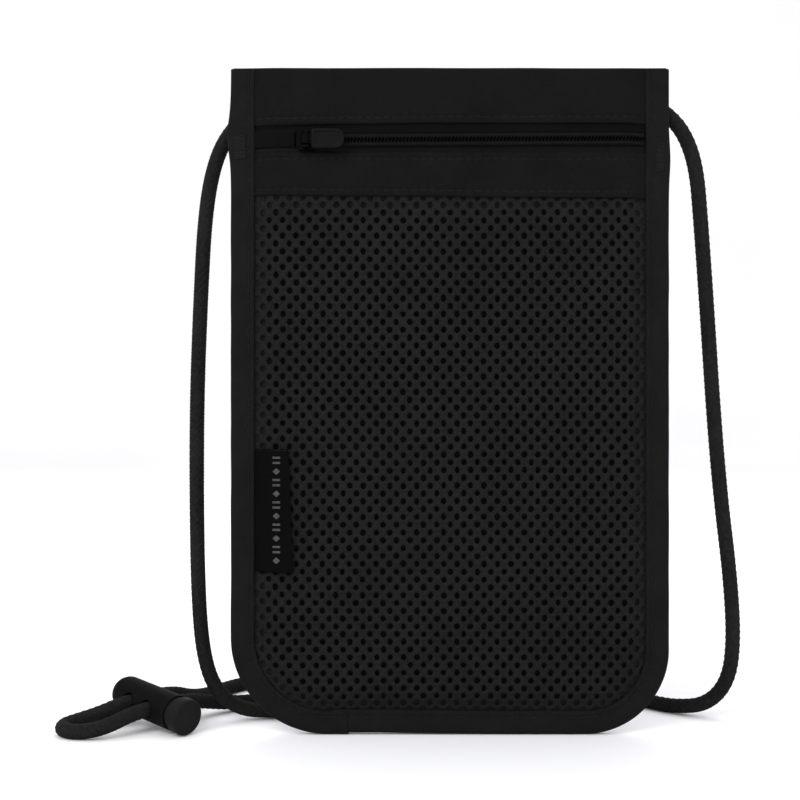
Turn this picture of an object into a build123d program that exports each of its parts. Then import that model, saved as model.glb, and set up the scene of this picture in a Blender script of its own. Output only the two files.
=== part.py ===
from build123d import *
from math import pi, radians, tan
import os

# Neck pouch wallet, standing on its bottom edge. Millimetres.
# X runs to the wearer's left of the front face, Y from the front to the back, +Z up.
# The origin is the middle of the pouch's bottom edge.

# ---- driving dimensions -------------------------------------------------------------
WIDTH = 145.0              # pouch, across the bindings
HEIGHT = 220.0             # pouch, bottom binding to top fold
CORNER_R = 28.0            # outer radius of the two bottom corners
SEAM_Y = 1.6               # plane in which front and back are sewn together
TAPE_W = 8.0               # visible width of the binding tape
SLOPE_W = 6.0              # width of the slope between the sewn edge and the flat middle
EDGE_GAP = 0.8             # cut edge of the panels, inside the binding
BAND_SPLIT_Z = 177.0       # top edge of the mesh, under the lower band
ZIP_Z = 195.6              # centre line of the zipper chain
WINDOW_Z0 = 191.9          # lower edge of the zipper window, the top of the lower band
WINDOW_Z1 = 201.4          # upper edge of the window, the hem of the top band
TAB_Z = 196.4              # middle of the fabric tab over the chain's end
LAP_X = -33.5              # where the two binding tapes meet on the bottom edge
INNER_X0 = -WIDTH / 2 + TAPE_W   # inner edge of the left binding
SIDE_GAP = 0.1             # gap between that edge and what is sewn in beside it
CORD_D = 5.0               # braided neck cord

# Levels are distances from the seam plane as (at the sewn edge, at the flat middle).
SHELL_BACK = ((0.8, 4.0), (1.2, 4.6))
LINING_BACK = ((0.5, 3.6), (0.75, 3.9))
LINING_FRONT = ((0.5, 1.8), (0.75, 2.1))
MESH_FRONT = ((0.9, 3.0), (1.5, 4.6))
TAPE_FRONT = ((0.8, 2.9), (1.05, 3.4))
BAND_FRONT = ((1.1, 3.5), (1.5, 4.0))
COIL_FRONT = ((1.1, 3.45), (2.1, 4.8))
END_TAB_FRONT = ((1.1, 3.5), (1.6, 4.1))
LABEL_FRONT = ((1.55, 4.7), (2.05, 5.2))

FRONT = -1.0
BACK = 1.0
BIG = 400.0                # longer than anything in the model

os.makedirs("parts", exist_ok=True)


# ---- helpers ------------------------------------------------------------------------
def plane_at(y):
    """Upright plane at depth y: its x is X, its y is Z, and its normal looks to the front."""
    return Plane(origin=(0, y, 0), x_dir=(1, 0, 0), z_dir=(0, -1, 0))


def outline(inset, y, top_inset=None):
    """Outline of the pouch a distance inside its edge: round bottom corners, square top."""
    half = WIDTH / 2 - inset
    low = inset
    high = HEIGHT - (inset if top_inset is None else top_inset)
    radius = CORNER_R - inset
    with BuildSketch(plane_at(y)) as sketch:
        with BuildLine():
            Line((-half, high), (-half, low + radius))
            RadiusArc((-half, low + radius), (-half + radius, low), -radius)
            Line((-half + radius, low), (half - radius, low))
            RadiusArc((half - radius, low), (half, low + radius), -radius)
            Line((half, low + radius), (half, high))
            Line((half, high), (-half, high))
        make_face()
    return sketch.sketch


def slab(inset, side, near, far, top_inset=None):
    """Flat plate with the pouch's outline, between two distances from the seam plane."""
    face = outline(inset, SEAM_Y + side * near, top_inset)
    return extrude(face, amount=far - near, dir=(0, side, 0))


def pillow(side, levels, inset=EDGE_GAP):
    """Half of a flat pouch: a thin sewn edge, a slope, and a flat middle."""
    edge, middle = levels
    base = outline(TAPE_W, SEAM_Y + side * edge)
    top = outline(TAPE_W + SLOPE_W, SEAM_Y + side * middle)
    rise = loft([base, top], ruled=True)
    return slab(inset, side, 0.0, edge) + rise


def layer(side, pair):
    """A sheet of fabric: the space between two pillows."""
    inner, outer = pair
    return pillow(side, outer) - pillow(side, inner)


def bounds(x0, x1, y0, y1, z0, z1):
    """Box between two corners."""
    centre = ((x0 + x1) / 2, (y0 + y1) / 2, (z0 + z1) / 2)
    return Pos(*centre) * Box(x1 - x0, y1 - y0, z1 - z0)


def between(solid, z0, z1, x0=-BIG, x1=BIG):
    """The stretch of a solid between two heights and, if given, two X planes."""
    return solid & bounds(x0, x1, -BIG, BIG, z0, z1)


def front_y(level):
    """Y of a distance in front of the seam plane."""
    return SEAM_Y - level


def save(name, solid):
    solid.label = name
    export_step(solid, f"parts/{name}.step")


# ---- shell: back panel, top fold and top band in one piece ---------------------------
FOLD_H = 1.6               # height of the fold over the top edge
PANEL_GAP = 0.1            # gap between the mesh and the band that laps its top edge


def make_shell():
    back = layer(BACK, SHELL_BACK)
    top_band = between(layer(FRONT, BAND_FRONT), WINDOW_Z1, HEIGHT)
    fold_half = WIDTH / 2 - EDGE_GAP
    fold_front = front_y(BAND_FRONT[1][0])
    fold_back = SEAM_Y + SHELL_BACK[1][0]
    fold = bounds(-fold_half, fold_half, fold_front, fold_back, HEIGHT - FOLD_H, HEIGHT)
    return back + top_band + fold


def make_lower_band():
    return between(layer(FRONT, BAND_FRONT), BAND_SPLIT_Z + PANEL_GAP, WINDOW_Z0)


def make_mesh():
    return between(layer(FRONT, MESH_FRONT), -BIG, BAND_SPLIT_Z)


LINING_TOP_Z = HEIGHT - 3.0
LINING_FRONT_TOP_Z = ZIP_Z - 7.7


def make_lining_back():
    return between(layer(BACK, LINING_BACK), -BIG, LINING_TOP_Z)


def make_lining_front():
    return between(layer(FRONT, LINING_FRONT), -BIG, LINING_FRONT_TOP_Z)


# ---- zipper -------------------------------------------------------------------------
TAPE_HALF_GAP = 0.25       # half the gap between the two tapes
TAPE_REACH = 9.7           # how far each tape runs from the chain's centre line
COIL_H = 2.1               # how far each coil runs from the chain's centre line
CHAIN_X1 = WIDTH / 2 - TAPE_W - 0.3
END_TAB_HALF_H = 3.0

SLIDER_X0 = -50.4
SLIDER_X1 = -43.9
SLIDER_HALF_H = 3.4
SLIDER_GAP = 0.3           # clearance round the slider
WING_R = 1.2               # rounding of the wings' corners
BACK_WING = (1.9, 2.6)     # levels of the slider's parts
FRONT_WING = (5.1, 5.9)
FLANGE = (3.6, 5.2)
FLANGE_T = 0.6
DIAMOND_LEVEL = 2.5
DIAMOND_T = 2.7
PARTED_HALF_H = 1.6        # half the gap that the diamond holds open between the tapes
PARTED_W = 3.3
POST = (5.8, 7.9)          # levels of the two posts that carry the bar
POST_Z = 2.5               # distance of each post from the chain's centre line
POST_T = 0.9
POST_W = 2.0
BAR_R = 0.6

PULL_X = -47.3             # axis of the puller's bar
PULL_LEVEL = 7.2
EYE_R = 0.68
EYE_OUTER_R = 1.25
LINK_HALF_H = 1.7
LINK_T = 0.8
LINK_X1 = -38.5
GRIP_X0 = -45.4
GRIP_X1 = -34.6
GRIP_HALF_H = 3.25
GRIP_T = 1.6
GRIP_TIP_R = 2.9           # corner radii of the grip's outline
GRIP_ROOT_R = 0.8
GRIP_EDGE_R = 0.35


def make_tape(side):
    """Woven zipper tape, side +1 above the chain and -1 below it."""
    z_near = ZIP_Z + side * TAPE_HALF_GAP
    z_far = ZIP_Z + side * TAPE_REACH
    tape = between(layer(FRONT, TAPE_FRONT), min(z_near, z_far), max(z_near, z_far))
    x0 = SLIDER_X0 - SLIDER_GAP
    parted = bounds(x0, x0 + PARTED_W, -BIG, 0, ZIP_Z - PARTED_HALF_H, ZIP_Z + PARTED_HALF_H)
    return tape - parted


def make_coil(side):
    """Envelope of one row of coil teeth, from inside the slider to the far end."""
    z_near = ZIP_Z + side * TAPE_HALF_GAP
    z_far = ZIP_Z + side * COIL_H
    row = between(layer(FRONT, COIL_FRONT), min(z_near, z_far), max(z_near, z_far))
    return row & bounds(SLIDER_X1 - PARTED_W + SLIDER_GAP, CHAIN_X1, -BIG, BIG, 0, BIG)


def make_end_tab():
    """Fabric tab folded over the chain's end, sewn into the left seam."""
    tab_sheet = layer(FRONT, END_TAB_FRONT)
    strip = between(tab_sheet, TAB_Z - END_TAB_HALF_H, TAB_Z + END_TAB_HALF_H)
    return strip & bounds(INNER_X0 + SIDE_GAP, SLIDER_X0 - SLIDER_GAP, -BIG, BIG, 0, BIG)


def slider_wing(levels):
    """Flat wing of the slider with rounded corners."""
    near, far = levels
    z0 = ZIP_Z - SLIDER_HALF_H
    z1 = ZIP_Z + SLIDER_HALF_H
    wing = bounds(SLIDER_X0, SLIDER_X1, front_y(far), front_y(near), z0, z1)
    return fillet(wing.edges().filter_by(Axis.Y), WING_R)


def make_slider():
    """Slider: back wing, front wing with side flanges, diamond, and the bar on its two posts."""
    z1 = ZIP_Z + SLIDER_HALF_H
    flange_x0 = SLIDER_X0 + WING_R
    flange_y0 = front_y(FLANGE[1])
    flange_up = bounds(flange_x0, SLIDER_X1 - 0.4, flange_y0, front_y(FLANGE[0]), z1 - FLANGE_T, z1)
    flange_low = mirror(flange_up, Plane(origin=(0, 0, ZIP_Z), z_dir=(0, 0, 1)))
    with BuildSketch(plane_at(front_y(DIAMOND_LEVEL))) as wedge:
        with Locations((SLIDER_X0 + 1.1, ZIP_Z)):
            Polygon((-1.1, -0.7), (-1.1, 0.7), (0, 1.3), (1.6, 0), (0, -1.3), align=None)
    diamond = extrude(wedge.sketch, amount=DIAMOND_T)
    body = slider_wing(BACK_WING) + slider_wing(FRONT_WING) + flange_up + flange_low + diamond
    post_y = (front_y(POST[1]), front_y(POST[0]))
    for side in (-1, 1):
        z_post = ZIP_Z + side * POST_Z
        post_z = (z_post - POST_T / 2, z_post + POST_T / 2)
        body += bounds(PULL_X - POST_W / 2, PULL_X + POST_W / 2, *post_y, *post_z)
    bar = Pos(PULL_X, front_y(PULL_LEVEL), ZIP_Z) * Cylinder(BAR_R, 2 * POST_Z)
    return body + bar


def make_puller_link():
    """Metal eye that turns on the slider's bar, with a flat tongue inside the grip."""
    axis_y = front_y(PULL_LEVEL)
    y0 = axis_y - LINK_T / 2
    z0 = ZIP_Z - LINK_HALF_H
    eye = Pos(PULL_X, axis_y, ZIP_Z) * Cylinder(EYE_OUTER_R, 2 * LINK_HALF_H)
    tongue = bounds(PULL_X, LINK_X1, y0, y0 + LINK_T, z0, z0 + 2 * LINK_HALF_H)
    hole = Pos(PULL_X, axis_y, ZIP_Z) * Cylinder(EYE_R, 4 * LINK_HALF_H)
    return eye + tongue - hole


def make_puller_grip(link):
    """Moulded D-shaped grip around the link's tongue."""
    with BuildSketch(plane_at(front_y(PULL_LEVEL) + GRIP_T / 2)) as face:
        with Locations(((GRIP_X0 + GRIP_X1) / 2, ZIP_Z)):
            Rectangle(GRIP_X1 - GRIP_X0, 2 * GRIP_HALF_H)
        fillet(face.vertices().group_by(Axis.X)[-1], GRIP_TIP_R)
        fillet(face.vertices().group_by(Axis.X)[0], GRIP_ROOT_R)
    grip = extrude(face.sketch, amount=GRIP_T)
    rim = grip.faces().sort_by(Axis.Y)[0].edges() + grip.faces().sort_by(Axis.Y)[-1].edges()
    return fillet(rim, GRIP_EDGE_R) - link


# ---- binding tape, label and bartacks -------------------------------------------------
BIND_IN = 1.6              # inner face of the folded tape, from the seam plane
BIND_OUT = 2.2             # outer face
BIND_EDGE = 0.7            # thickness of the tape round the edge
BIND_CUT = 40.0            # depth of the cut that opens the binding's middle
LAP_GAP = 0.05             # half the gap between the two tapes' ends
BARTACK_T = 0.35
BARTACK_LEFT = (-71.3, -67.0, 190.0, 197.7)
BARTACK_RIGHT = (67.7, 70.6, 186.0, 195.0)
LABEL_X1 = -51.0
LABEL_Z0 = 54.0
LABEL_Z1 = 94.4


def make_binding():
    """Tape folded over the sewn edge: left, bottom and right sides, open at the top."""
    outer = slab(0.0, BACK, -BIND_OUT, BIND_OUT, top_inset=0.0)
    slot = slab(BIND_EDGE, BACK, -BIND_IN, BIND_IN, top_inset=-1.0)
    middle = slab(TAPE_W, BACK, -BIND_CUT, BIND_CUT, top_inset=-1.0)
    return outer - slot - middle


def make_label():
    """Folded woven label that lies on the mesh and is sewn into the left seam."""
    return between(layer(FRONT, LABEL_FRONT), LABEL_Z0, LABEL_Z1, INNER_X0 + SIDE_GAP, LABEL_X1)


def make_bartack(x0, x1, z0, z1):
    """Dense block of stitches on the front of the binding."""
    return bounds(x0, x1, front_y(BIND_OUT + BARTACK_T), front_y(BIND_OUT), z0, z1)


# ---- cord lock ------------------------------------------------------------------------
# Distances along the lock are measured from the outer face of its button.
LOCK_FACE = Vector(-86.0, -1.9, 6.0)
LOCK_AXIS = Vector(-0.763, 0.637, 0.104).normalized()
HOLE_DIR = Vector(0.641, 0.768, 0.0).normalized()
LOCK_R = 5.9
CAP_T = 4.4
CAP_EDGE_R = 0.8
GAP_EDGE_R = 0.2           # on both sides of the gap between button and body
BODY_START = 6.1
DOME_AT = 31.0
DOME_R = LOCK_R - 0.001    # a hair inside the barrel, so that the two do not share a face
BORE_R = 5.3
BORE_END = 31.0
POCKET_R = 4.2             # spring's pocket, at the end of the bore
POCKET_END = 33.0
PLUNGER_R = 5.23
PLUNGER_END = 28.7
HOLE_NEAR = 15.0
HOLE_FAR = 24.5
HOLE_R = 3.1
SLOT_HALF_W = 2.8
PRESS = 1.6
SPRING_WIRE = 0.45
SPRING_R = 3.4
SPRING_TURNS = 2.5
SPRING_GAP = 0.05
ACROSS = 20.0              # length of a tool that cuts right across the lock


def lock_frame(distance):
    """Plane across the lock, a distance from its button's face."""
    return Plane(origin=LOCK_FACE + LOCK_AXIS * distance, x_dir=HOLE_DIR, z_dir=LOCK_AXIS)


def lock_distance(point):
    """Distance of a point along the lock."""
    return (point - LOCK_FACE).dot(LOCK_AXIS)


def lock_cylinder(radius, start, end):
    return extrude(lock_frame(start) * Circle(radius), amount=end - start)


def cross_hole(distance, radius):
    """Round bar across the lock, along the cord's direction."""
    centre = LOCK_FACE + LOCK_AXIS * distance
    across = Plane(origin=centre - HOLE_DIR * ACROSS / 2, x_dir=LOCK_AXIS, z_dir=HOLE_DIR)
    return extrude(across * Circle(radius), amount=ACROSS)


def cross_slot(distance, length, half_width):
    """Long hole across the plunger, its length along the lock."""
    centre = LOCK_FACE + LOCK_AXIS * distance
    across = Plane(origin=centre - HOLE_DIR * ACROSS / 2, x_dir=LOCK_AXIS, z_dir=HOLE_DIR)
    return extrude(across * SlotCenterToCenter(length, 2 * half_width), amount=ACROSS)


def make_lock_body():
    barrel = lock_cylinder(LOCK_R, BODY_START, DOME_AT)
    mouth = barrel.faces().sort_by(lambda face: lock_distance(face.center()))[0]
    barrel = fillet(mouth.edges(), GAP_EDGE_R)
    dome = lock_frame(DOME_AT) * Sphere(DOME_R)
    body = barrel + dome - lock_cylinder(BORE_R, BODY_START - 1, BORE_END)
    body -= lock_cylinder(POCKET_R, BORE_END - 1, POCKET_END)
    for distance in (HOLE_NEAR, HOLE_FAR):
        body -= cross_hole(distance, HOLE_R)
    return body


def make_lock_button():
    cap = lock_cylinder(LOCK_R, 0, CAP_T)
    rims = cap.edges().filter_by(GeomType.CIRCLE).sort_by(lambda edge: lock_distance(edge.center()))
    cap = fillet(rims[0], CAP_EDGE_R)
    rims = cap.edges().filter_by(GeomType.CIRCLE).sort_by(lambda edge: lock_distance(edge.center()))
    cap = fillet(rims[-1], GAP_EDGE_R)
    button = cap + lock_cylinder(PLUNGER_R, CAP_T - 1, PLUNGER_END)
    for distance in (HOLE_NEAR, HOLE_FAR):
        button -= cross_slot(distance - PRESS / 2, PRESS, SLOT_HALF_W)
    return button


def make_lock_spring():
    """Helical spring between the plunger's end and the bottom of its pocket."""
    length = POCKET_END - PLUNGER_END - 2 * (SPRING_WIRE + SPRING_GAP)
    start = lock_frame(PLUNGER_END + SPRING_WIRE + SPRING_GAP)
    path = start * Helix(length / SPRING_TURNS, length, SPRING_R)
    section = Plane(origin=path @ 0, z_dir=path % 0) * Circle(SPRING_WIRE)
    return sweep(section, path=path)


def on_lock(distance, along):
    """Point on a cord hole's centre line: distance down the lock, then along the hole."""
    point = LOCK_FACE + LOCK_AXIS * distance + HOLE_DIR * along
    return (point.X, point.Y, point.Z)


# ---- neck cord ------------------------------------------------------------------------
FLOOR = CORD_D / 2         # centre of a cord that lies on the floor
SEWN_Y = 6.4               # centre of a cord end that is sewn to the back of the binding

CORD_ROUTE = [
    # down from the left corner
    (-66.0, SEWN_Y, 208.0),
    (-72.8, SEWN_Y, 201.5),
    (-78.6, 6.8, 191.0),
    (-82.0, 7.6, 173.5),
    (-83.7, 8.8, 145.0),
    (-85.2, 10.3, 112.0),
    (-85.6, 11.8, 76.0),
    (-85.2, 13.2, 42.0),
    (-83.6, 14.7, 22.0),
    (-79.4, 16.5, 10.0),
    (-71.5, 18.9, 3.6),
    (-60.5, 21.0, FLOOR),
    # slack folded back on itself behind the pouch
    (-44.0, 21.5, FLOOR),
    (-20.0, 17.5, FLOOR),
    (8.0, 12.5, FLOOR),
    (31.0, 11.5, FLOOR),
    (44.0, 20.0, FLOOR),
    (47.0, 34.5, FLOOR),
    (39.0, 47.5, FLOOR),
    (24.0, 53.0, FLOOR),
    (1.0, 50.0, FLOOR),
    (-26.0, 42.0, FLOOR),
    (-48.0, 38.5, FLOOR),
    (-64.5, 36.5, FLOOR),
    (-75.5, 31.5, 2.8),
    (-82.8, 25.0, 4.6),
    # through the lock's first hole
    on_lock(HOLE_NEAR, 12.0),
    on_lock(HOLE_NEAR, -9.5),
    # small end loop
    (-112.4, -5.0, 3.8),
    (-119.9, -6.0, FLOOR),
    (-126.6, -3.8, FLOOR),
    (-128.5, 2.1, FLOOR),
    (-125.1, 7.2, 2.8),
    (-117.8, 7.7, 5.0),
    # through the lock's second hole
    on_lock(HOLE_FAR, -7.5),
    on_lock(HOLE_FAR, 12.5),
    (-91.0, 33.5, 4.4),
    (-86.0, 46.0, FLOOR),
    (-79.5, 58.5, FLOOR),
    (-69.0, 67.5, FLOOR),
    (-52.0, 71.5, FLOOR),
    (-28.0, 70.0, FLOOR),
    (2.0, 64.5, FLOOR),
    (30.0, 63.0, FLOOR),
    (52.0, 56.5, FLOOR),
    (65.5, 44.5, FLOOR),
    (73.0, 34.0, FLOOR),
    # up to the right corner
    (81.0, 26.8, FLOOR),
    (90.6, 22.0, 4.6),
    (97.4, 20.4, 13.0),
    (99.0, 19.4, 27.5),
    (97.2, 17.6, 50.0),
    (93.4, 15.6, 77.0),
    (90.3, 13.3, 107.0),
    (87.6, 10.8, 140.0),
    (84.8, 8.4, 171.0),
    (83.0, 7.0, 188.5),
    (79.0, 6.5, 199.8),
    (72.8, SEWN_Y, 206.8),
    (66.5, SEWN_Y, 210.8),
]
ARC_SHARE = 0.45           # part of the shorter run that each arc may take


def arc_radii(points):
    """Radius of the arc at each inner point of the route."""
    radii = []
    for before, here, after in zip(points, points[1:], points[2:]):
        run_in = Vector(here) - Vector(before)
        run_out = Vector(after) - Vector(here)
        turn = run_in.get_angle(run_out)
        shorter = min(run_in.length, run_out.length)
        radii.append(ARC_SHARE * shorter / tan(radians(turn) / 2))
    return radii


def make_cord():
    radii = arc_radii(CORD_ROUTE)
    path = FilletPolyline(*CORD_ROUTE, radius=radii)
    section = Plane(origin=path @ 0, z_dir=path % 0) * Circle(CORD_D / 2)
    cord = sweep(section, path=path)
    expected = pi * CORD_D ** 2 / 4 * path.length
    print(f"cord: length {path.length:.0f} mm, smallest arc radius {min(radii):.1f} mm")
    print(f"cord: volume {cord.volume:.0f}, section times length {expected:.0f} mm3")
    print("cord radii:", " ".join(f"{radius:.0f}" for radius in radii))
    return cord


# ---- the whole pouch --------------------------------------------------------------------
save("shell_panel", make_shell())
save("lower_band", make_lower_band())
save("mesh_panel", make_mesh())
save("lining_back", make_lining_back())
save("lining_front", make_lining_front())

save("zipper_tape_upper", make_tape(1))
save("zipper_tape_lower", make_tape(-1))
save("zipper_coil_upper", make_coil(1))
save("zipper_coil_lower", make_coil(-1))
save("zipper_end_tab", make_end_tab())
save("slider_body", make_slider())
puller_link = make_puller_link()
save("puller_link", puller_link)
save("puller_grip", make_puller_grip(puller_link))

binding = make_binding()
save("binding_left", between(binding, -BIG, BIG, -BIG, LAP_X - LAP_GAP))
save("binding_right", between(binding, -BIG, BIG, LAP_X + LAP_GAP, BIG))
save("side_label", make_label())
save("bartack_left", make_bartack(*BARTACK_LEFT))
save("bartack_right", make_bartack(*BARTACK_RIGHT))

save("neck_cord", make_cord())
save("cord_lock_body", make_lock_body())
save("cord_lock_button", make_lock_button())
save("cord_lock_spring", make_lock_spring())
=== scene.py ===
import math
import random

import bpy
import numpy as np
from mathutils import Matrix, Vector, noise


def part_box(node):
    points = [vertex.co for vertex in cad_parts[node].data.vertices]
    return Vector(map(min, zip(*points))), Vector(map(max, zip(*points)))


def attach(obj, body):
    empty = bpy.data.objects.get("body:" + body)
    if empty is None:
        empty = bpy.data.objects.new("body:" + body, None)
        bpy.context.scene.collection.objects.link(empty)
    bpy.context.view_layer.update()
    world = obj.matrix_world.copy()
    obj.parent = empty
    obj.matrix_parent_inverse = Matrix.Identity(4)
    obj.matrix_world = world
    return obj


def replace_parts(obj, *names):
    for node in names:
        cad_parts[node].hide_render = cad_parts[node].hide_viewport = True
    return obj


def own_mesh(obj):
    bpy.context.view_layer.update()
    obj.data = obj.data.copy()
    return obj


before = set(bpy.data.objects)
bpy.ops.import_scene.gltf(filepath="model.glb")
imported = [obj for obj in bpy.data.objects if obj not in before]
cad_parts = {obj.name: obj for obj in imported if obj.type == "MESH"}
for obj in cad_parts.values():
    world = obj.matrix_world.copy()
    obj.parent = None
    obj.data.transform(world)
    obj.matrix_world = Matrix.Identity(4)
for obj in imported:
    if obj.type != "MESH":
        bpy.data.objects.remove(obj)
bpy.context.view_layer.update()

# Lengths below are in millimetres, in the CAD frame; MM turns them into metres.
MM = 0.001
FRONT = -1.0
BACK = 1.0


def box_mm(node):
    """Lowest and highest corner of a CAD node, in millimetres."""
    low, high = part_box(node)
    return low / MM, high / MM


# ---- sizes taken from the frame ----
LEFT_HIGH = box_mm("binding_left")[1]
RIGHT_LOW, RIGHT_HIGH = box_mm("binding_right")
BAND_LOW, BAND_HIGH = box_mm("lower_band")
TAPE_UP_LOW = box_mm("zipper_tape_upper")[0]
TAPE_DOWN_HIGH = box_mm("zipper_tape_lower")[1]
TAB_LOW, TAB_HIGH = box_mm("zipper_end_tab")
SLIDER_HIGH = box_mm("slider_body")[1]
GRIP_LOW, GRIP_HIGH = box_mm("puller_grip")
LABEL_LOW, LABEL_HIGH = box_mm("side_label")

HALF_W = RIGHT_HIGH.x
HEIGHT = RIGHT_HIGH.z
SEAM_Y = (RIGHT_LOW.y + RIGHT_HIGH.y) / 2
LAP_X = LEFT_HIGH.x
ZIP_Z = (TAPE_UP_LOW.z + TAPE_DOWN_HIGH.z) / 2
WINDOW_LOW = BAND_HIGH.z
WINDOW_H = 9.5             # height of the gap between the bands
WINDOW_HIGH = WINDOW_LOW + WINDOW_H
CORNER_LEFT = 32.0         # outer radii of the bottom corners; wear has made the left one rounder
CORNER_RIGHT = 28.0
TAPE_W = 8.0               # visible width of the binding
SLOPE_W = 9.0              # width over which the panels rise from the binding to their middle
SLOPE_START = TAPE_W - 1.5
TOP_ROLL = (-8.0, 16.0)    # distances below the top fold where the closing ends and begins

MESH_LEVELS = (1.1, 4.6)   # distances from the seam plane, at the binding and in the middle
BAND_LEVELS = (1.55, 4.1)
LINING_LEVELS = (0.6, 2.1)
TAPE_LEVELS = (1.0, 3.3)
BACK_LEVELS = (1.2, 4.5)
LINING_BACK_LEVELS = (0.7, 3.8)
CORD_D = 5.0


# ---- camera ----
CAMERA_AT = (-16.5, -400.0, 110.5)
FRAME_HALF = 132.0         # half the width of the view at the pouch


def make_camera():
    data = bpy.data.cameras.new("camera")
    data.sensor_width = 36.0
    data.lens = data.sensor_width / 2 * -CAMERA_AT[1] / FRAME_HALF
    data.clip_start = 0.01
    data.clip_end = 10.0
    camera = bpy.data.objects.new("camera", data)
    camera.location = Vector(CAMERA_AT) * MM
    camera.rotation_euler = (math.pi / 2, 0, 0)
    bpy.context.scene.collection.objects.link(camera)
    bpy.context.scene.camera = camera


make_camera()


# ---- mesh helpers ----
def mesh_object(name, verts, faces):
    """Smooth-shaded object from vertices in millimetres."""
    mesh = bpy.data.meshes.new(name)
    mesh.from_pydata([tuple(c * MM for c in v) for v in verts], [], faces)
    mesh.validate()
    mesh.update()
    mesh.polygons.foreach_set("use_smooth", [True] * len(mesh.polygons))
    obj = bpy.data.objects.new(name, mesh)
    bpy.context.scene.collection.objects.link(obj)
    return obj


def grid_faces(rows, cols, first=0, closed=False):
    """Quads of a grid of rows by cols vertices; closed joins the last column to the first."""
    faces = []
    last = cols if closed else cols - 1
    for r in range(rows - 1):
        for c in range(last):
            d = (c + 1) % cols
            a = first + r * cols
            b = a + cols
            faces.append((a + c, a + d, b + d, b + c))
    return faces


def tube_faces(rows, sides, first=0):
    """Faces of a closed tube: rows of rings with a number of sides, and a cap at each end."""
    last = first + (rows - 1) * sides
    faces = grid_faces(rows, sides, first, closed=True)
    faces.append(tuple(reversed(range(first, first + sides))))
    faces.append(tuple(range(last, last + sides)))
    return faces


def sheet_object(name, points, thickness, offset=-1.0):
    """Sheet through a grid of points, with its thickness and closed rims."""
    flat = [p for row in points for p in row]
    obj = mesh_object(name, flat, grid_faces(len(points), len(points[0])))
    solid = obj.modifiers.new("thickness", "SOLIDIFY")
    solid.thickness = thickness * MM
    solid.offset = offset
    graph = bpy.context.evaluated_depsgraph_get()
    mesh = bpy.data.meshes.new_from_object(obj.evaluated_get(graph))
    obj.modifiers.clear()
    obj.data = mesh
    return obj


def smooth_step(value, start, end):
    t = min(max((value - start) / (end - start), 0.0), 1.0)
    return t * t * (3 - 2 * t)


def wobble(x, z, size, seed):
    """Smooth unevenness between about -1 and 1; each use has its own feature size and seed."""
    return noise.noise(Vector((x / size, z / size, seed)))


# ---- the pouch's outline and surfaces ----
def corner_of(x):
    return CORNER_LEFT if x < 0 else CORNER_RIGHT


def inset_of(x, z):
    """Distance inside the pouch's outline, from its sides and bottom."""
    side = abs(x)
    corner = corner_of(x)
    corner_x = HALF_W - corner
    if z < corner and side > corner_x:
        return corner - math.hypot(side - corner_x, corner - z)
    return min(HALF_W - side, z)


def edge_x(z, inset, side):
    """X of the outline's left (-1) or right (1) edge at a height, a distance inside it."""
    corner = corner_of(side)
    if z >= corner:
        return side * (HALF_W - inset)
    radius = corner - inset
    return side * (HALF_W - corner + math.sqrt(max(radius ** 2 - (corner - z) ** 2, 0.0)))


def across(z, inset, cols):
    """X of evenly spaced points from the left edge to the right edge at a height."""
    left, right = edge_x(z, inset, -1.0), edge_x(z, inset, 1.0)
    return [left + (right - left) * c / (cols - 1) for c in range(cols)]


def level_at(x, z, levels):
    """Distance of a panel from the seam plane."""
    edge, middle = levels
    rise = smooth_step(inset_of(x, z), SLOPE_START, SLOPE_START + SLOPE_W)
    top = smooth_step(HEIGHT - z, *TOP_ROLL)
    return edge + (middle - edge) * rise * top


def row_heights(high, step, inset):
    """Heights of a panel's rows from the bottom, closer together round the bottom corners."""
    corner = CORNER_LEFT
    steps = 22
    heights = [corner - (corner - inset) * math.cos(math.pi / 2 * i / steps) for i in range(steps)]
    count = round((high - corner) / step)
    return heights + [corner + (high - corner) * i / count for i in range(count + 1)]


# ---- material nodes ----
BLUE_SHARE = 1.03          # the blacks lean slightly to blue


def grey(value):
    return (value, value, value * BLUE_SHARE)


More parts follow.
